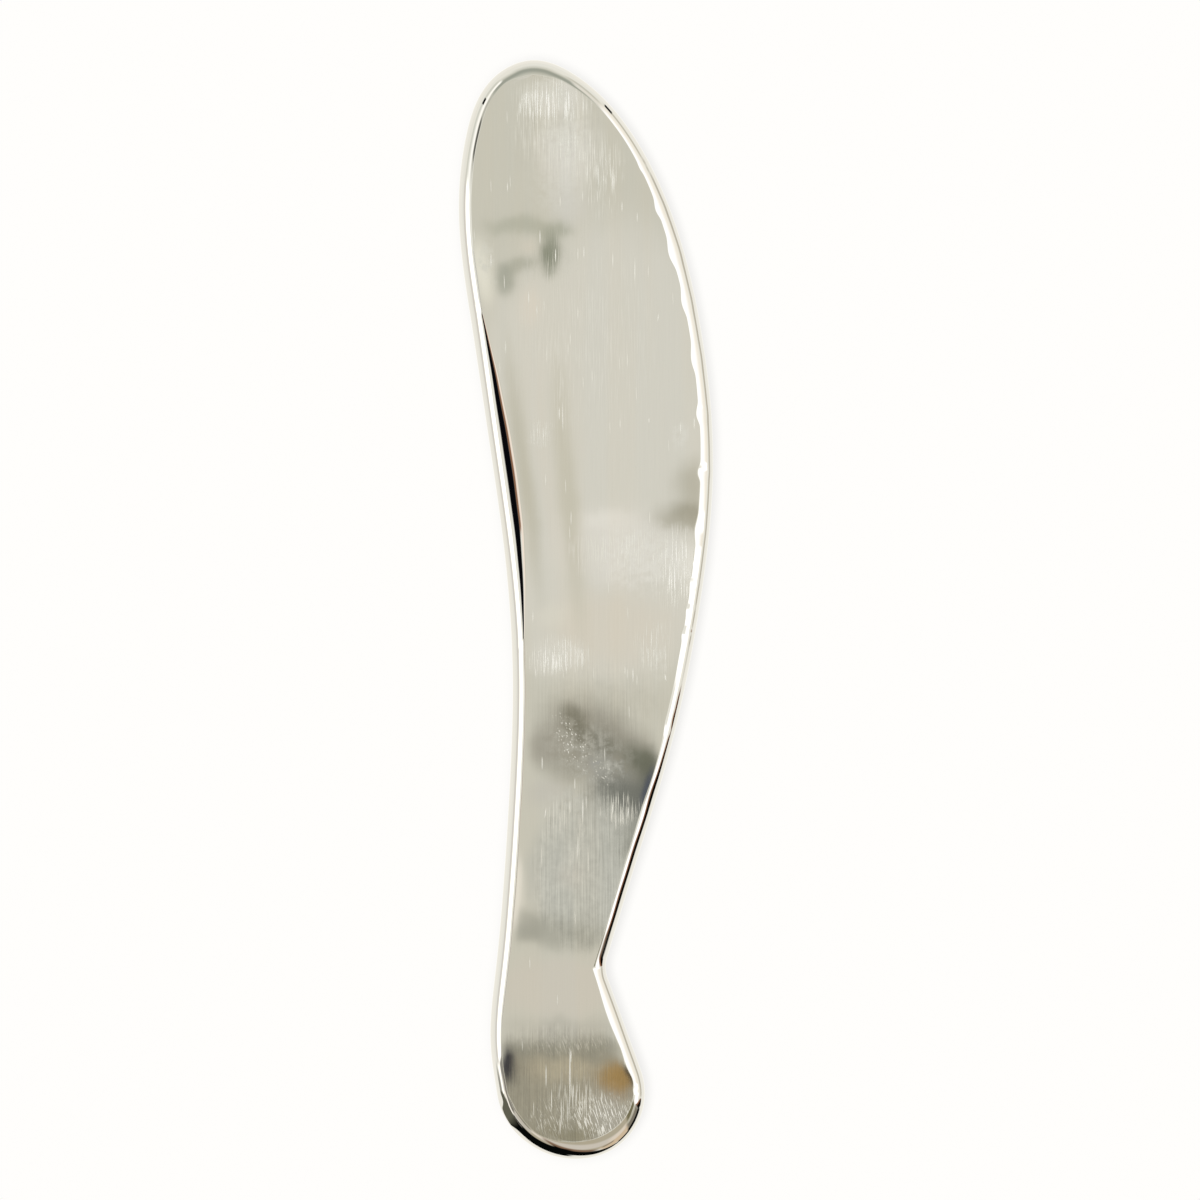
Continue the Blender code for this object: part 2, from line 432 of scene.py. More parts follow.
def bevelSections(sections, count):
    # the rim up to the bevel, then the bevel alone, as two curves of the same count
    insets, rises, slope = tiltedRun(sections["bevelTilts"])
    arcSteps = count - len(insets) - 1
    whole = math.radians(sections["angle"])
    last = math.acos(1 - sections["bevelAt"] * (1 - math.cos(whole)))
    rim, bevel = [], []
    for k in range(count):
        turned = last * min(k / arcSteps, 1)
        rim.append(((1 - math.cos(turned)) / (1 - math.cos(whole)),
                    math.sin(turned) / math.sin(last)))
        after = k - arcSteps
        bevel.append((0.0, 0.0) if after < 0 else
                     (insets[after], rises[after]) if after < len(insets) else
                     (insets[-1] + sections["faceLip"], 1.0))
    return rim, bevel, slope


print("outline")
leftChain, rightChain = halfChains(plateShape, rimSections)
sectionCurves = [roundedSection(rimSections, "crisp"), roundedSection(rimSections, "soft"),
                 groundSection(rimSections)]
*bevelCurves, bevelSlope = bevelSections(rimSections, len(sectionCurves[0]))
sectionCurves += bevelCurves
guide = np.vstack([leftChain, rightChain])
places = [(x, y, 0.0) for x, y in guide[:, :2]]
for curve in sectionCurves:
    places += [(inset, height, 0.0) for inset, height in curve]
guideMesh = bpy.data.meshes.new("plateGuide")
guideMesh.from_pydata(places, [], [])
guideMesh.attributes.new("inward", "FLOAT_VECTOR", "POINT")
guideNames = ("rimWidth", "bevelWidth", "softness", "ground", "bevelled")
for name in guideNames:
    guideMesh.attributes.new(name, "FLOAT", "POINT")
for i, row in enumerate(guide):
    guideMesh.attributes["inward"].data[i].vector = (row[2], row[3], 0.0)
    for name, value in zip(guideNames, row[4:]):
        guideMesh.attributes[name].data[i].value = value


# The plate's skin

polish = {
    "Rows": plateShape["rows"],
    "Section Points": len(sectionCurves[0]),
    "Face Steps": plateShape["faceSteps"],
    "Thickness": plateShape["thickness"],
    "Bevel Slope": bevelSlope,
    "Waviness": 0.004 * mm,
    "Wave Count": 45.0,
    "Edge Fade": 0.16,
    "Merge Distance": 0.002 * mm,
    "Seed": 7.0,
}


def buildSkinTree():
    tree = bpy.data.node_groups.new("plateSkin", "GeometryNodeTree")
    face = tree.interface
    face.new_socket("Geometry", in_out="INPUT", socket_type="NodeSocketGeometry")
    for name in polish:
        kind = "Int" if name in ("Rows", "Section Points", "Face Steps") else "Float"
        face.new_socket(name, in_out="INPUT", socket_type="NodeSocket" + kind)
    face.new_socket("Steel", in_out="INPUT", socket_type="NodeSocketMaterial")
    face.new_socket("Geometry", in_out="OUTPUT", socket_type="NodeSocketGeometry")
    group = addNode(tree, "NodeGroupInput").outputs
    rows, points, steps = group["Rows"], group["Section Points"], group["Face Steps"]

    # one row of points across the plate: up the left rim, over the face, down the right rim
    rimCount = minus(tree, points, 1)
    lastColumn = plus(tree, times(tree, rimCount, 2), steps)
    columns = plus(tree, lastColumn, 1)
    grid = addNode(tree, "GeometryNodeMeshGrid", {"Vertices X": rows, "Vertices Y": columns})
    index = addNode(tree, "GeometryNodeInputIndex").outputs[0]
    row = calc(tree, "FLOOR", calc(tree, "DIVIDE", plus(tree, index, 0.5), columns))
    column = minus(tree, index, times(tree, row, columns))
    fromSide = calc(tree, "MINIMUM", column, minus(tree, lastColumn, column))
    onSection = calc(tree, "MINIMUM", fromSide, rimCount)
    across = calc(tree, "DIVIDE", minus(tree, column, rimCount), steps, clamp=True)

    def sample(field, kind, place):
        values = {"Geometry": group["Geometry"], "Value": field, "Index": place}
        node = addNode(tree, "GeometryNodeSampleIndex", values, data_type=kind, domain="POINT")
        return node.outputs["Value"]

    def guideValue(name, kind, place):
        node = addNode(tree, "GeometryNodeInputNamedAttribute", {"Name": name}, data_type=kind)
        return sample(node.outputs["Attribute"], kind, place)

    position = addNode(tree, "GeometryNodeInputPosition").outputs[0]
    start = plus(tree, times(tree, rows, 2), onSection)
    rules = []
    for _ in sectionCurves:
        rules.append(sample(position, "FLOAT_VECTOR", start))
        start = plus(tree, start, points)

    # each side takes its own blend of the sections
    half = calc(tree, "DIVIDE", group["Thickness"], 2)
    sides, heights = [], []
    for place in (row, plus(tree, row, rows)):
        rule = rules[0]
        for name, other in (("softness", 1), ("ground", 2), ("bevelled", 3)):
            rule = blendVector(tree, guideValue(name, "FLOAT", place), rule, rules[other])
        rim, bevel = split(tree, rule), split(tree, rules[4])
        bevelWidth = guideValue("bevelWidth", "FLOAT", place)
        reach = plus(tree, times(tree, guideValue("rimWidth", "FLOAT", place), rim["X"]),
                     times(tree, bevelWidth, bevel["X"]))
        inset = vectorCalc(tree, "SCALE", guideValue("inward", "FLOAT_VECTOR", place), scale=reach)
        sides.append(vectorCalc(tree, "ADD", sample(position, "FLOAT_VECTOR", place), inset))
        # the bevel takes its share of the height from the rim
        rise = calc(tree, "DIVIDE", times(tree, bevelWidth, group["Bevel Slope"]), half)
        change = times(tree, rise, minus(tree, bevel["Y"], rim["Y"]))
        heights.append(plus(tree, rim["Y"], change))
    flat = blendVector(tree, across, *sides)
    height = plus(tree, heights[0], times(tree, across, minus(tree, heights[1], heights[0])))

    # the face is a little uneven from hand polishing, and only ever lower than the rim
    values = {"Vector": flat, "W": group["Seed"], "Scale": group["Wave Count"], "Detail": 1.0}
    noise = addNode(tree, "ShaderNodeTexNoise", values, noise_dimensions="4D")
    window = times(tree, across, minus(tree, 1.0, across))
    window = ease(tree, window, 0.0, group["Edge Fade"])
    dip = times(tree, noise.outputs["Fac"], window, group["Waviness"])
    height = minus(tree, times(tree, height, half), dip)
    place = vectorCalc(tree, "ADD", flat, combined(tree, 0.0, 0.0, height))

    def after(node, kind, values=(), **settings):
        # a node that takes up the geometry of the one before
        return addNode(tree, kind, {0: node.outputs[0], **dict(values)}, **settings)

    rimShare = minus(tree, 1.0, calc(tree, "DIVIDE", onSection, rimCount))
    stored = after(grid, "GeometryNodeStoreNamedAttribute",
                   {"Name": "rimShare", "Value": rimShare}, data_type="FLOAT", domain="POINT")
    upper = after(stored, "GeometryNodeSetPosition", {"Position": place})

    # the underside mirrors the upper side
    turned = after(upper, "GeometryNodeFlipFaces")
    lower = after(upper, "GeometryNodeTransform", {"Scale": (1.0, 1.0, -1.0)})
    both = addNode(tree, "GeometryNodeJoinGeometry")
    tree.links.new(turned.outputs[0], both.inputs[0])
    tree.links.new(lower.outputs[0], both.inputs[0])
    merged = after(both, "GeometryNodeMergeByDistance", {"Distance": group["Merge Distance"]})
    standing = after(merged, "GeometryNodeTransform",
                     {"Translation": combined(tree, 0.0, 0.0, half)})
    smooth = after(standing, "GeometryNodeSetShadeSmooth")
    real = after(smooth, "GeometryNodeRealizeInstances")
    painted = after(real, "GeometryNodeSetMaterial", {"Material": group["Steel"]})
    after(painted, "NodeGroupOutput")
    return tree


# Polished steel

steel = {
    "colour": (0.62, 0.6, 0.54),
    "coolColour": (0.615, 0.602, 0.55),
    "hazeColour": (0.76, 0.76, 0.73),
    "strokeColour": (0.97, 0.96, 0.93),
    "roughness": 0.018,
    "hazeRoughness": 0.1,
    "strokeRoughness": 0.42,
    "brushedRoughness": 0.008,
    # how deep the lapping lines are, and the share of it outside the brushed places
    "lapDepth": 0.00025 * mm,
    "plainLap": 0.05,
    # how much the lapping lines and the blotches change the tone
    "brushedTone": 0.75,
    "plainTone": 0.07,
    "blotchTone": 0.3,
    # patterns along the plate: start, size across and along in mm, detail, roughness
    "lines": ((0, 0), (0.3, 16.0), 3.0, 0.65),
    "threads": ((3, 9), (0.14, 5.0), 2.0, 0.5),
    "bands": ((5, 2), (5.0, 90.0), 2.0, 0.5),
    "lineShare": 0.65,
    "threadShare": 0.35,
    # patches and broken edges: scale, detail, roughness, and how far the edges are pushed, mm
    "patches": (0.65, 4.0, 0.65),
    "ragged": (0.35, 3.0, 0.6),
    "raggedPush": (3.0, 3.0),
    # from which to which level the bands, the patches, the haze's lines and the hairs come in
    "coolBands": (0.35, 0.65),
    "hazePatches": (0.3, 0.65),
    "hazeLines": (0.2, 0.7, 0.55, 1.0),
    "hairs": (0.5, 0.7),
    # strokes and scratches: the faintest, the even share, and a scratch's half width in mm
    "faintest": 0.4,
    "strokeCore": 0.4,
    "scratchCore": 0.2,
    "scratchWidth": 0.13,
    # how the pattern moves for each mm of height, and where on the rim the marks fade out
    "heightShift": (7.3, 3.1, 0.0),
    "markFade": 0.25,
}

# soft places on the faces, in mm from the middle of the plate:
# (centre), (half width, half height), turn in degrees, share that is even, strength
faceMarks = {
    # dull from rubbing
    "haze": (
        ((-6, 84), (6.6, 3.6), 0, 0.1, 0.55), ((-3, 76), (5.6, 5.6), 0, 0.1, 0.6),
        ((-4.2, 68.5), (6.9, 6.6), 0, 0.1, 0.25), ((-16.2, 57), (1.6, 5.2), 5, 0.1, 0.5),
        ((-7.5, 28), (2.3, 2.6), 0, 0.1, 0.5), ((15.4, 28.3), (2, 3.6), 0, 0.1, 0.4),
        ((9, 8.4), (10.2, 7.9), 0, 0.2, 0.5), ((-4.2, -7.5), (5.6, 3.3), 0, 0.1, 0.5),
        ((11.8, -8.3), (2.6, 3.6), 0, 0.1, 0.35), ((4.3, -26), (3.6, 3.6), 0, 0.1, 0.6),
        ((-2.3, -31), (5.9, 3.3), 0, 0.1, 0.4), ((0.5, -23.5), (11, 7), -28, 0.2, 0.42),
    ),
    # lapped with fine lines along the plate
    "brushed": (
        ((0, -42), (9.2, 15.4), -6, 0.8, 1), ((-4, -81.5), (13.8, 10.8), 0, 0.7, 0.7),
        ((-4.2, -70.5), (10.8, 3.6), 0, 0.5, 0.8), ((2.3, -15), (14.7, 9.8), 0, 0.3, 0.4),
        ((-4.2, 78.5), (9.8, 11.5), 0, 0.3, 0.5),
    ),
    # short upright strokes
    "fine": (
        ((-5.6, 83), (8.2, 4.6), -8, 0.3, 1), ((-6.5, 78), (7.4, 6), 0, 0.2, 0.5),
        ((-2, 75), (7, 7.5), 0, 0.1, 0.6), ((2.6, 71), (4.6, 8.4), 0, 0.2, 0.7),
        ((6, 9.4), (10, 6.5), 0, 0.2, 0.55), ((14.8, 6.6), (4.4, 8.9), -8, 0.3, 1),
        ((-7.4, 28.7), (2.4, 3), 0, 0.2, 0.8), ((-4.4, -7.8), (6.6, 4.2), 0, 0.3, 1),
        ((11.3, -6.3), (4.4, 5.6), 0, 0.2, 0.7), ((5.3, -32.5), (4.4, 3.4), 0, 0.3, 0.45),
        ((-4.5, -34), (3.6, 5.4), 0, 0.2, 0.32), ((0, 45), (16, 24), 0, 0.1, 0.16),
        ((-2, -80), (6, 7), 0, 0.2, 0.4), ((-1.5, -38), (2.2, 7.5), 0, 0.2, 0.3),
    ),
    # small bright flecks
    "flecks": (
        ((-2.1, -21.7), (2.6, 6.9), 28, 0.3, 1), ((2.3, -26.3), (2.6, 3.9), 40, 0.2, 0.5),
    ),
    # short strokes that lean
    "leaning": (
        ((2.4, -82.8), (6.2, 4.6), 0, 0.3, 0.9), ((-6, -83), (6, 4.6), 0, 0.2, 0.25),
        ((-3, -70.8), (10, 2.8), 0, 0.2, 0.12),
    ),
}

# flecks and strokes strewn singly: pitch across and along in mm, lean in degrees, size as a
# share of the pitch, share of the places that hold one, strength, and the marks they lie in
strokeLayers = (
    ((0.5, 1.1), 32, 0.17, 0.55, 1, "flecks"), ((0.34, 0.8), -20, 0.15, 0.4, 0.8, "flecks"),
    ((2.2, 26), 0, 0.048, 0.45, 0.7, None),
    ((1.5, 30), 2, 0.045, 0.4, 0.45, None),
)

# bundles of hair lines: size across and along in mm, lean in degrees, detail, roughness, and
# the marks that they lie in
hairBundles = (
    ((0.18, 6.5), 0, 2, 0.6, "fine"), ((0.19, 2), 18, 2, 0.6, "leaning"),
)

# single scratches: (centre), half length, turn, strength
scratches = (
    ((-1.3, 58.1), 1.5, 0, 0.5), ((4.4, 57.1), 1.8, 0, 0.6), ((8, 55.3), 2.9, 0, 0.6),
    ((-1.3, 48.4), 1.5, 0, 0.5), ((4.3, 70), 2.9, 0, 0.7), ((1.8, 71.7), 2, 0, 0.6),
    ((0.2, 71.2), 2.5, 0, 0.6), ((5.9, 65.8), 1.1, 0, 0.6), ((8.4, 64.1), 1, 0, 0.5),
    ((-12.8, 69), 1, 0, 0.5), ((-8, 48.9), 1, 0, 0.5), ((11.8, 47.7), 0.8, -8, 0.7),
    ((10.2, 55.3), 1.3, 0, 0.4), ((-4.2, 66.7), 1.3, 0, 0.5), ((-7.5, 60.8), 1.5, 0, 0.5),
    ((-3.8, 31.5), 2.8, 1, 0.5), ((5.6, 30.4), 1, 0, 0.5), ((10.3, 30.9), 0.5, 0, 0.6),
    ((-6.4, 41.7), 2, 0, 0.4), ((-2.9, 42.5), 1.5, 0, 0.4), ((-0.5, -33), 2.6, -1, 0.7),
    ((-8.2, -10.2), 1.3, 2, 0.6), ((7.7, -10.6), 1.8, 0, 0.7), ((6.4, -9.9), 1.1, 0, 0.5),
    ((13, -11.1), 0.8, 10, 0.8), ((6.9, -33.2), 1.3, -2, 0.8), ((4.4, -32.5), 1.3, 0, 0.6),
    ((-2.6, -76.2), 6.1, 0, 0.8), ((-6.5, -76.2), 2.5, 0, 0.5), ((-5.6, -80.2), 2.6, 0, 0.4),
    ((-1.3, -38.9), 3.2, -1, 0.6), ((-2.6, -32.3), 1.6, 0, 0.5), ((-7.2, -40.5), 2.4, 0, 0.4),
    ((0.4, -41), 3, 1, 0.4), ((4.9, -34.5), 2.2, 0, 0.5), ((-6.6, -33.2), 1.2, -8, 0.6),
    ((-4, -82), 3.3, 1, 0.4), ((-4.2, -84.3), 1.8, 0, 0.5), ((2.6, -79.7), 1.5, -2, 0.5),
)


def polishedSteel(look):
    material = bpy.data.materials.new("polishedSteel")
    material.use_nodes = True
    tree = material.node_tree
    shader = tree.nodes["Principled BSDF"]
    shader.inputs["Metallic"].default_value = 1.0

    # places in mm; the height shifts them, so that the two faces differ
    place = vectorCalc(tree, "SCALE", addNode(tree, "ShaderNodeTexCoord").outputs["Object"],
                       scale=1000.0)
    shift = vectorCalc(tree, "SCALE", look["heightShift"], scale=split(tree, place)["Z"])
    level = flattened(tree, place)
    shifted = vectorCalc(tree, "ADD", level, shift)
    rimShare = addNode(tree, "ShaderNodeAttribute", attribute_name="rimShare").outputs["Fac"]
    onFace = ease(tree, rimShare, 0.0, look["markFade"], 1.0, 0.0)

    # marks have broken edges
    broken = pushed(tree, level, noiseAt(tree, level, *look["ragged"]), look["raggedPush"])

    def marked(name):
        total = None
        for centre, size, turn, core, strength in faceMarks[name]:
            spot = softSpot(tree, broken, centre, size, turn, core, strength)
            total = spot if total is None else calc(tree, "MAXIMUM", total, spot)
        return total

    # fine lines from lapping, along the plate
    lines, threads, bands = [streakNoise(tree, shifted, *look[name]).outputs["Fac"]
                             for name in ("lines", "threads", "bands")]
    lapped = plus(tree, times(tree, lines, look["lineShare"]),
                  times(tree, threads, look["threadShare"]))
    brushed = times(tree, marked("brushed"), onFace)

    strokes = None
    for pitch, lean, reach, chance, strength, within in strokeLayers:
        values = {"Vector": fitted(tree, shifted, (0, 0), pitch, lean), "Scale": 1.0}
        cells = addNode(tree, "ShaderNodeTexVoronoi", values, voronoi_dimensions="2D")
        luck = addNode(tree, "ShaderNodeSeparateColor", {0: cells.outputs["Color"]}).outputs
        there = calc(tree, "LESS_THAN", luck[0], chance)
        power = ease(tree, luck[1], 0.0, 1.0, look["faintest"], strength)
        body = ease(tree, cells.outputs["Distance"], reach * look["strokeCore"], reach, 1.0, 0.0)
        layer = times(tree, there, power, body)
        if within:
            layer = times(tree, layer, marked(within))
        strokes = layer if strokes is None else calc(tree, "MAXIMUM", strokes, layer)
    for size, lean, detail, rough, within in hairBundles:
        hairs = streakNoise(tree, shifted, (0, 0), size, detail, rough, lean).outputs["Fac"]
        layer = times(tree, ease(tree, hairs, *look["hairs"]), marked(within))
        strokes = calc(tree, "MAXIMUM", strokes, layer)
    for centre, half, turn, strength in scratches:
        scratch = softSpot(tree, level, centre, (look["scratchWidth"], half), turn,
                           look["scratchCore"], strength)
        strokes = calc(tree, "MAXIMUM", strokes, scratch)
    strokes = times(tree, strokes, onFace)

    # haze is patchy and shows the lapping lines
    patchy = noiseAt(tree, level, *look["patches"]).outputs["Fac"]
    haze = times(tree, marked("haze"), ease(tree, patchy, *look["hazePatches"]),
                 ease(tree, lines, *look["hazeLines"]), onFace)

    # colour: warm and cool bands, darker and lighter lapping lines, haze, strokes
    colour = blendColour(tree, ease(tree, bands, *look["coolBands"]), look["colour"],
                         look["coolColour"])
    contrast = plus(tree, times(tree, brushed, look["brushedTone"]), look["plainTone"])
    shade = times(tree, minus(tree, lapped, 0.5), contrast)
    blotch = times(tree, minus(tree, patchy, 0.5), brushed, look["blotchTone"])
    tone = plus(tree, shade, plus(tree, blotch, 1.0))
    colour = vectorCalc(tree, "SCALE", colour, scale=tone)
    colour = blendColour(tree, haze, colour, look["hazeColour"])
    colour = blendColour(tree, strokes, colour, look["strokeColour"])
    feed(tree, shader.inputs["Base Color"], colour)

    rough = look["roughness"]
    for share, name in ((haze, "hazeRoughness"), (brushed, "brushedRoughness"),
                        (strokes, "strokeRoughness")):
        rough = plus(tree, times(tree, share, look[name]), rough)
    feed(tree, shader.inputs["Roughness"], rough)

    depth = calc(tree, "ADD", brushed, look["plainLap"], clamp=True)
    bump = addNode(tree, "ShaderNodeBump",
                   {"Strength": depth, "Distance": look["lapDepth"], "Height": lapped})
    feed(tree, shader.inputs["Normal"], bump.outputs["Normal"])
    return material


print("skin")
steelMaterial = polishedSteel(steel)
skinTree = buildSkinTree()
guideObject = bpy.data.objects.new("plateGuide", guideMesh)
bpy.context.scene.collection.objects.link(guideObject)
skin = guideObject.modifiers.new("skin", "NODES")
skin.node_group = skinTree
for item in skinTree.interface.items_tree:
    if item.in_out == "INPUT" and item.name in polish:
        skin[item.identifier] = polish[item.name]
    if item.in_out == "INPUT" and item.name == "Steel":
        skin[item.identifier] = steelMaterial
bpy.context.view_layer.update()
evaluated = guideObject.evaluated_get(bpy.context.evaluated_depsgraph_get())
plateMesh = bpy.data.meshes.new_from_object(evaluated)
plateMesh.name = "scrapingPlate"
guideObject.modifiers.remove(skin)
bpy.data.objects.remove(guideObject)
plate = bpy.data.objects.new("scrapingPlate", plateMesh)
bpy.context.scene.collection.objects.link(plate)
print("plate:", len(plateMesh.vertices), "points,", len(plateMesh.polygons), "faces")

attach(plate, "root")
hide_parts("scraper_plate")


# Table, light and camera

camera = {
    "lens": 135.0,
    "sensor": 36.0,
    "frameWidth": 196.54 * mm,
    "centre": (2.31 * mm, 1.56 * mm, 2.0 * mm),
}

table = {
    "size": 12.0,
    "gap": 0.02 * mm,
    "colour": (1.0, 0.99, 0.972),
    # how bright the plate's rim sees the paper
    "underGlow": 1.34,
    # the painted soft shade beside the plate: how far it reaches, how deep, where it leans to
    "shadeReach": 2.4 * mm,
    "shadeDepth": 0.11,
    "shadeLean": (-0.42, -0.1, 0.9),
    "shadeSamples": 8,
}

studio = {
    "backdrop": (1.0, 0.996, 0.985),
    "overhead": (0.93, 0.92, 0.845),
    # how far the ceiling reaches, in degrees from overhead, and how soon it is all wall
    "overheadReach": 8.5,
    "overheadFade": 1.4,
    "lowestCeiling": 0.1,
    # uneven edges of the ceiling's shades: loose, then drawn out along the plate
    "loose": (0.2, 4.0, 0.7),
    "loosePush": (1.2, 3.6),
    "drawn": ((0, 0), (0.5, 12.0), 2.0, 0.6),
    "drawnPush": (0.4, 3.0),
    "walls": (1.27, 1.27, 1.24),
}

# soft panels round the table, in degrees, the compass anticlockwise from +X:
# (middle, half width, soft edge), (from, to, upper and lower soft edge) down from overhead,
# how much lower they hang for each degree anticlockwise, colour
wallPanels = (
    # north
    ((97, 44, 14), (11, 60, 6, 25), 0, (0.88, 0.89, 0.82)),
    ((97, 40, 12), (26, 49.5, 28, 14), 0, (0.53, 0.56, 0.51)),
    ((56, 6, 5), (42, 58, 6, 4), 0, (1.2, 1.17, 1.12)),
    ((57, 7, 8), (58, 70, 6, 6), 0, (0.92, 0.91, 0.84)),
    ((152, 13, 6), (26, 41, 4, 4), 0, (0.76, 0.76, 0.71)),
    ((148, 22, 6), (43.5, 53.5, 4, 4), -0.12, (1.62, 1.62, 1.64)),
    ((150, 21, 6), (58, 68, 4, 8), 0, (0.99, 1.01, 0.97)),
    ((158.5, 4, 3), (27, 40, 3, 4), 0, (0.2, 0.2, 0.19)),
    # west
    ((181, 11, 4), (62, 73, 6, 7), 0, (1, 0.965, 0.96)),
    ((181, 11.5, 3), (38, 57, 3, 7), 0, (2.4, 2.4, 2.45)),
    ((183, 9, 2), (10, 18, 2, 2), 0, (1.38, 1.24, 1.16)),
    ((186.5, 5, 1.5), (17.5, 21.5, 2, 2), 0, (0.42, 0.21, 0.12)),
    ((183, 8, 1.5), (21, 28, 2, 1.5), 0, (0.004, 0.004, 0.006)),
    ((197.5, 4.5, 2), (55, 76, 4, 6), 0, (1.9, 1.88, 1.88)),
    ((199, 6, 2), (20, 52, 4, 4), 0, (0.42, 0.41, 0.39)),
    # east
    ((19, 30, 6), (22, 68, 4, 14), 0, (1.42, 1.36, 1.28)),
    ((19, 30, 6), (22, 50, 4, 22), 0, (1.76, 1.77, 1.9)),
    ((346, 10, 5), (43, 62, 5, 6), 0.2, (2, 2, 2.1)),
    ((353, 5, 4), (26, 53, 4, 18), 0, (1.9, 1.9, 2)),
    ((10, 21, 6), (75, 93, 5, 2), -0.1, (0.8, 0.76, 0.68)),
    ((40, 7, 5), (72, 85, 5, 4), 0, (0.86, 0.83, 0.74)),
    ((342, 5, 1.5), (64, 80, 3, 3), 2.6, (0.4, 0.19, 0.11)),
    ((342, 5, 1.5), (71.5, 92, 3, 4), 2.6, (0.004, 0.003, 0.002)),
    # south
    ((276, 50, 8), (12, 60, 4, 8), 0.2, (0.68, 0.62, 0.5)),
    ((272, 36, 12), (33, 48, 6, 6), 0.3, (0.93, 0.87, 0.81)),
    ((240, 9, 8), (28, 38, 5, 5), 0, (1.15, 1.06, 0.98)),
    ((306, 9, 8), (44, 60, 6, 6), 0, (1.12, 1, 0.89)),
    ((304, 15, 8), (56, 79, 5, 3), 0, (0.98, 0.78, 0.58)),
    ((295, 5, 3), (56, 62, 3, 3), 0, (0.5, 0.42, 0.33)),
    ((268, 16, 10), (45, 54, 6, 4), 0.8, (0.34, 0.21, 0.14)),
    ((285, 28, 4), (67, 92, 4, 2), 0.85, (0.003, 0.003, 0.003)),
    ((238, 29, 6), (48, 91, 3, 3), 0, (0.003, 0.004, 0.004)),
    ((327, 10, 5), (50, 72, 4, 4), 0, (0.33, 0.3, 0.25)),
    ((327, 9, 5), (46, 54, 4, 4), 0, (0.76, 0.74, 0.64)),
    ((327, 9, 5), (20, 44, 5, 5), 0, (0.27, 0.25, 0.15)),
    ((321, 17, 3), (78, 91, 4, 2), 0, (0.004, 0.004, 0.004)),
    ((327, 11, 3), (71, 91, 4, 2), 0, (0.004, 0.004, 0.004)),
    # the heel's ground flats
    ((226, 9, 5), (34, 45, 4, 3), 0, (0.84, 0.79, 0.73)),
    ((226, 9, 5), (20, 33, 4, 3), 0, (0.33, 0.32, 0.26)),
    ((222, 4, 2), (55, 59, 2, 2), 0, (0.52, 0.47, 0.42)),
    ((207, 12, 8), (60, 100, 6, 3), -0.8, (0.18, 0.18, 0.14)),
    ((208, 10, 4), (46, 53, 2, 2), 0, (1.55, 1.48, 1.42)),
    ((208, 10, 4), (35, 45, 2, 2), 0, (0.36, 0.34, 0.3)),
    ((208, 10, 4), (12, 34, 2, 2), 0, (0.42, 0.39, 0.34)),
    # small dark things
    ((147.6, 2.2, 0.8), (54, 67, 1.5, 2), 0, (0.01, 0.01, 0.01)),
    ((46.2, 1.5, 0.6), (72, 95, 2, 2), 0, (0.01, 0.01, 0.01)),
)

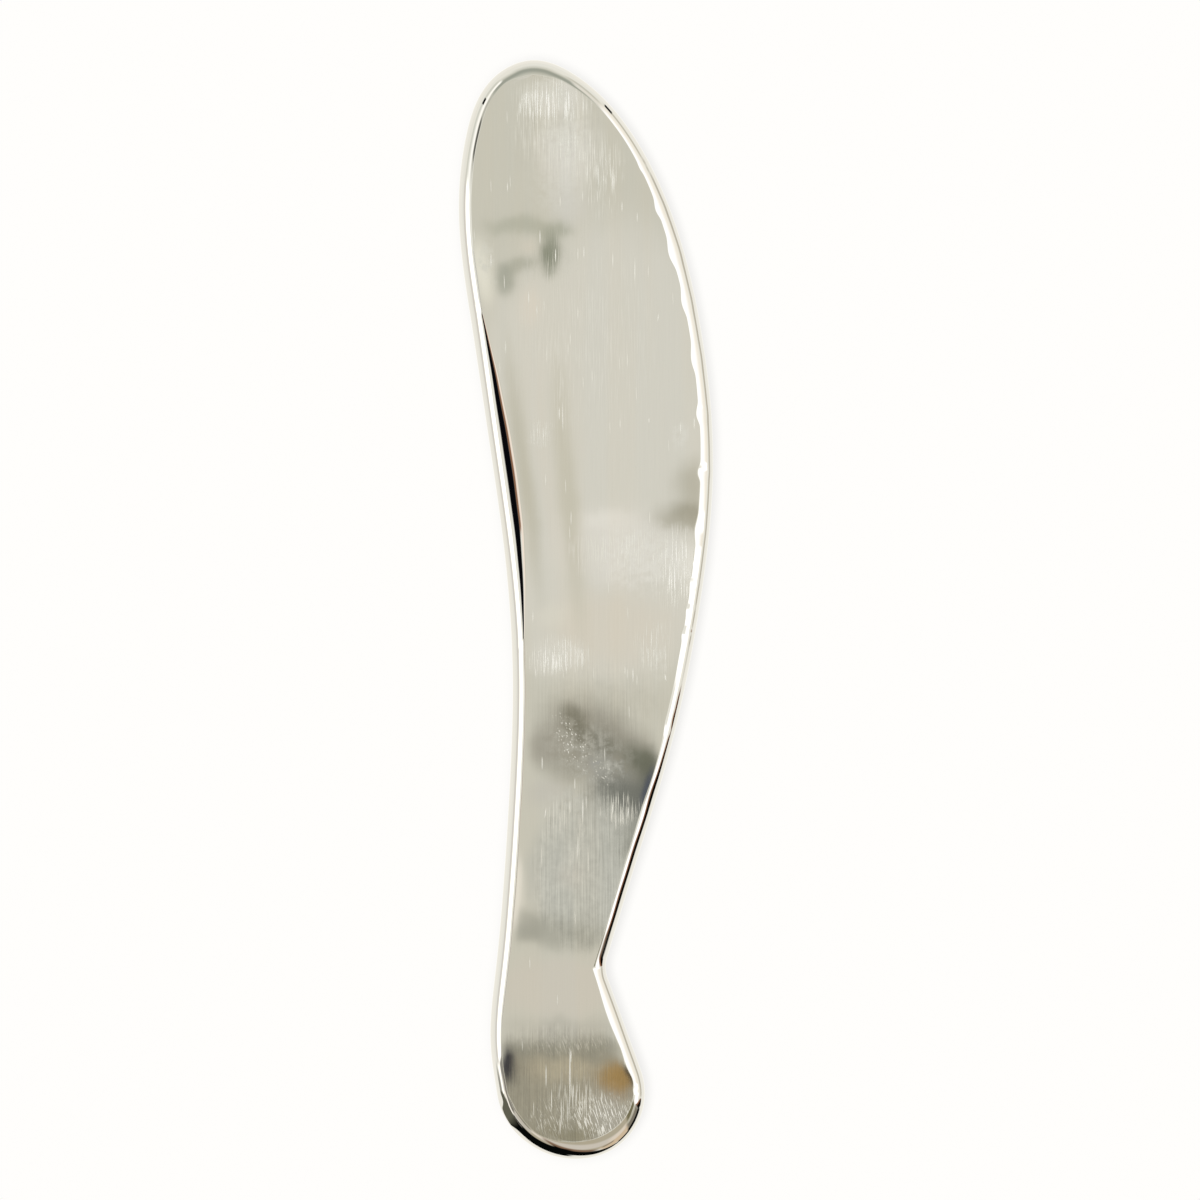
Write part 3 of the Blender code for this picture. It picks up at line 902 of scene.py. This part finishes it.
# soft shades on the ceiling, in mm as the flat face shows them to the camera:
# (centre), (half width, half height), turn, share that is even, strength, colour
ceilingShades = (
    # the light upper face, and the two dark stripes down it
    ((4, 26), (28, 44), 0, 0.72, 1, (1.04, 1.03, 0.98)),
    ((4, -3), (14, 9), 0, 0.3, 0.9, (1.06, 1.01, 0.93)),
    ((-3.3, 74.5), (6.5, 8.5), 0, 0.25, 0.9, (1.13, 1.12, 1.1)),
    ((-3, 66), (5, 5), 0, 0.2, 0.7, (1.03, 1.02, 1)),
    ((-4.8, 83.4), (5.4, 3), 0, 0.2, 0.85, (1.22, 1.2, 1.18)),
    ((5, 10.5), (15, 8.5), 0, 0.3, 0.9, (1.13, 1.11, 1.08)),
    ((3.4, 14.8), (6.5, 2.6), 0, 0.2, 0.8, (1.22, 1.2, 1.17)),
    ((-9.8, 23), (2.3, 30), 7.6, 0.2, 0.85, (0.82, 0.8, 0.7)),
    ((-6.3, 22.5), (1.6, 29), 6.4, 0.3, 0.8, (1.06, 1.03, 0.97)),
    ((-2.8, 19), (2.6, 32), 5.4, 0.2, 0.85, (0.88, 0.86, 0.76)),
    # the dark bars and blob near the tip
    ((-9.8, 62.6), (8.4, 2), -3, 0.4, 0.95, (0.73, 0.74, 0.65)),
    ((-4.8, 62.2), (3.6, 1.8), 0, 0.35, 0.85, (0.63, 0.65, 0.56)),
    ((-10.6, 56.3), (4.2, 1.6), 5, 0.35, 0.9, (0.66, 0.67, 0.59)),
    ((-12.8, 54.2), (2, 3.3), 0, 0.35, 0.9, (0.58, 0.6, 0.53)),
    ((-5.9, 58.4), (2.1, 4.4), 0, 0.4, 1, (0.38, 0.41, 0.33)),
    ((-9.3, 59.3), (1.7, 1.6), 0, 0.3, 0.8, (1.04, 0.99, 0.9)),
    ((-9, 49.8), (2.2, 5.2), 0, 0.3, 0.85, (1.12, 1.06, 0.98)),
    ((-16.8, 55.5), (2.6, 7.5), 10, 0.25, 0.95, (1.24, 1.23, 1.14)),
    # the brown-grey place beside the convex edge, and the light places below it
    ((16.9, 15.7), (7, 3.2), 0, 0.15, 1, (0.55, 0.53, 0.44)),
    ((17, 20.5), (4.4, 6.5), 0, 0.15, 0.8, (0.72, 0.7, 0.61)),
    ((16, 14.5), (7.6, 1.9), 0, 0.15, 0.8, (0.68, 0.66, 0.57)),
    ((16.2, 7.4), (3.8, 5), -8, 0.2, 0.85, (1.28, 1.27, 1.25)),
    ((-5.2, -7.8), (6, 4.2), 0, 0.2, 0.7, (1.12, 1.1, 1.06)),
    ((-5, -0.8), (3.2, 3), 0, 0.2, 0.6, (1.12, 1.1, 1.02)),
    # the dark cloud above the neck
    ((2.3, -14.8), (14, 5.2), 0, 0.1, 0.75, (0.84, 0.82, 0.74)),
    ((2, -22), (13, 8), -34, 0.35, 0.95, (0.5, 0.48, 0.42)),
    ((-6, -22.8), (4.2, 5), 0, 0.25, 0.9, (0.54, 0.52, 0.46)),
    ((-1.9, -18.4), (2.8, 4.8), 18, 0.35, 0.95, (0.31, 0.3, 0.24)),
    ((2.4, -21.8), (5.2, 2.6), -15, 0.3, 0.9, (0.32, 0.32, 0.27)),
    ((9, -25.2), (5.2, 3.6), -45, 0.3, 1, (0.23, 0.24, 0.19)),
    ((8.4, -31), (3.6, 7.5), -12, 0.3, 1, (0.22, 0.23, 0.19)),
    ((3, -30), (4.4, 5.2), -12, 0.2, 0.85, (0.42, 0.43, 0.4)),
    ((-5.5, -30), (5, 3.4), 0, 0.2, 0.7, (0.86, 0.84, 0.8)),
    ((-2.6, -26), (5, 3.8), 0, 0.2, 0.75, (0.48, 0.47, 0.41)),
    ((6.6, -30.8), (6.4, 4.6), -20, 0.35, 0.95, (0.27, 0.28, 0.26)),
    ((7, -35.6), (3.8, 3.8), 0, 0.2, 0.8, (0.5, 0.51, 0.5)),
    ((9.4, -29), (1.6, 4.6), -18, 0.3, 0.9, (0.1, 0.12, 0.18)),
    ((2.3, -25.4), (2.8, 2.2), 0, 0.2, 0.75, (0.6, 0.63, 0.65)),
    # the neck
    ((0, -43), (10, 13), -6, 0.75, 0.95, (0.8, 0.81, 0.77)),
    ((6.2, -37.5), (2.8, 5.5), -12, 0.25, 0.9, (0.47, 0.48, 0.44)),
    ((-2, -43.5), (3.2, 2.6), 0, 0.2, 0.7, (0.98, 0.94, 0.88)),
    ((-11.4, -46), (2.9, 8.5), 0, 0.4, 1, (1.24, 1.2, 1.14)),
    ((-3, -53.2), (10, 3.8), 0, 0.2, 0.9, (0.6, 0.6, 0.54)),
    ((-8.8, -52), (2.8, 3.8), 0, 0.2, 0.7, (0.5, 0.51, 0.46)),
    ((-4.2, -62), (12, 6.6), 0, 0.45, 0.95, (0.96, 0.92, 0.85)),
    # the tail
    ((-3.4, -84), (15.5, 14.6), 0, 0.82, 1, (0.5, 0.475, 0.39)),
    ((-3.5, -68.6), (12.5, 2.8), 0, 0.2, 0.8, (0.76, 0.74, 0.68)),
    ((-4.2, -71.8), (13, 2.3), 0, 0.45, 0.95, (0.44, 0.43, 0.36)),
    ((-3.6, -75.4), (9, 2.5), 0, 0.3, 0.9, (0.72, 0.65, 0.5)),
    ((3.4, -82.6), (6, 5.6), 0, 0.25, 0.65, (0.72, 0.7, 0.66)),
    ((-12.1, -75), (2.2, 3.9), -6, 0.4, 1, (0.02, 0.02, 0.04)),
    ((4.7, -76.9), (3.4, 3.6), 20, 0.5, 1, (0.54, 0.35, 0.13)),
    ((6.9, -76), (0.8, 3.4), 23, 0.4, 1, (0.05, 0.04, 0.03)),
    ((-3.4, -86.2), (8.8, 1.5), 0, 0.3, 0.75, (0.38, 0.35, 0.24)),
)


def overheadLight(tree, direction, fromSky, look, view):
    # the ceiling at the camera's height, its places in mm on the plate
    height = view["frameWidth"] * view["lens"] / view["sensor"] / mm
    reach = calc(tree, "DIVIDE", height, calc(tree, "MAXIMUM", fromSky, look["lowestCeiling"]))
    place = vectorCalc(tree, "SCALE", direction, scale=reach)
    centre = [part / mm for part in view["centre"][:2]]
    place = flattened(tree, vectorCalc(tree, "ADD", place, (*centre, 0.0)))
    place = pushed(tree, place, noiseAt(tree, place, *look["loose"]), look["loosePush"])
    place = pushed(tree, place, streakNoise(tree, place, *look["drawn"]), look["drawnPush"])

    colour = look["overhead"]
    for middle, size, turn, core, strength, tint in ceilingShades:
        spot = softSpot(tree, place, middle, size, turn, core, strength)
        colour = blendColour(tree, spot, colour, tint)
    return colour


def panelLight(tree, down, level, look, compass):
    # the walls with those panels that reach into the quarter round this compass angle
    colour = look["walls"]
    halfQuarter = 45
    for (middle, halfWidth, side), (start, end, *soft), lower, tint in wallPanels:
        if abs((middle - compass + 180) % 360 - 180) > halfWidth + side / 2 + halfQuarter:
            continue
        turn = math.radians(middle)
        facing = vectorCalc(tree, "DOT_PRODUCT", level, (math.cos(turn), math.sin(turn), 0.0))
        within = ease(tree, facing, math.cos(math.radians(halfWidth + side / 2)),
                      math.cos(math.radians(max(halfWidth - side / 2, 0))))
        here = down
        if lower:
            aside = vectorCalc(tree, "DOT_PRODUCT", level, (-math.sin(turn), math.cos(turn), 0.0))
            here = minus(tree, down, times(tree, calc(tree, "ARCSINE", aside), lower))
        upper, under = [math.radians(part) / 2 for part in soft]
        start, end = math.radians(start), math.radians(end)
        above = ease(tree, here, start - upper, start + upper)
        below = ease(tree, here, end - under, end + under, 1.0, 0.0)
        colour = blendColour(tree, times(tree, above, below, within), colour, tint)
    return colour


def studioDome(look, view):
    world = bpy.data.worlds.new("studioDome")
    bpy.context.scene.world = world
    world.use_nodes = True
    tree = world.node_tree
    tree.nodes.clear()
    direction = addNode(tree, "ShaderNodeTexCoord").outputs["Generated"]
    x, y, up = split(tree, direction)
    down = calc(tree, "ARCCOSINE", up)
    level = vectorCalc(tree, "NORMALIZE", flattened(tree, direction))

    def glow(colour):
        return addNode(tree, "ShaderNodeBackground", {"Color": colour}).outputs[0]

    def either(share, first, second):
        return addNode(tree, "ShaderNodeMixShader", enumerate((share, first, second))).outputs[0]

    # each quarter of the walls is a light of its own, so that only one is worked out at a time
    east, north, west, south = [glow(panelLight(tree, down, level, look, compass))
                                for compass in (0, 90, 180, 270)]
    right = calc(tree, "GREATER_THAN", minus(tree, x, y), 0.0)
    above = calc(tree, "GREATER_THAN", plus(tree, x, y), 0.0)
    walls = either(above, either(right, west, south), either(right, north, east))
    reach = math.radians(look["overheadReach"])
    ceiling = glow(overheadLight(tree, direction, up, look, view))
    light = either(ease(tree, down, reach, reach * look["overheadFade"]), ceiling, walls)
    seen = addNode(tree, "ShaderNodeLightPath").outputs["Is Camera Ray"]
    addNode(tree, "ShaderNodeOutputWorld",
            {"Surface": either(seen, light, glow(look["backdrop"]))})


def paleTable(look):
    # white paper that glows evenly, with a painted soft shade from ambient occlusion beside the
    # plate
    half = look["size"] / 2
    low = plateLow.z - look["gap"]
    mesh = bpy.data.meshes.new("paleTable")
    mesh.from_pydata([(-half, -half, low), (half, -half, low), (half, half, low),
                      (-half, half, low)], [], [(0, 1, 2, 3)])
    top = bpy.data.objects.new("paleTable", mesh)
    bpy.context.scene.collection.objects.link(top)
    material = bpy.data.materials.new("whitePaper")
    material.use_nodes = True
    tree = material.node_tree
    tree.nodes.clear()
    # painted shade: ambient occlusion, leaned to one side, dims the paper's glow beside the plate
    lean = combined(tree, *look["shadeLean"])
    shade = addNode(tree, "ShaderNodeAmbientOcclusion",
                    {"Distance": look["shadeReach"], "Normal": lean},
                    samples=look["shadeSamples"])
    light = ease(tree, shade.outputs["AO"], 0.0, 1.0, 1 - look["shadeDepth"] * 2, 1.0)
    seen = addNode(tree, "ShaderNodeLightPath").outputs["Is Camera Ray"]
    strength = ease(tree, seen, 0.0, 1.0, look["underGlow"], 1.0)
    paper = addNode(tree, "ShaderNodeEmission",
                    {"Color": look["colour"], "Strength": times(tree, light, strength)})
    addNode(tree, "ShaderNodeOutputMaterial", {"Surface": paper.outputs[0]})
    mesh.materials.append(material)


def aimCamera(look):
    data = bpy.data.cameras.new("topCamera")
    data.lens = look["lens"]
    data.sensor_width = look["sensor"]
    distance = look["frameWidth"] * look["lens"] / look["sensor"]
    view = bpy.data.objects.new("topCamera", data)
    x, y, z = look["centre"]
    view.location = (x, y, z + distance)
    bpy.context.scene.collection.objects.link(view)
    bpy.context.scene.camera = view


print("studio")
studioDome(studio, camera)
paleTable(table)
aimCamera(camera)
bpy.context.scene.view_settings.view_transform = "Standard"
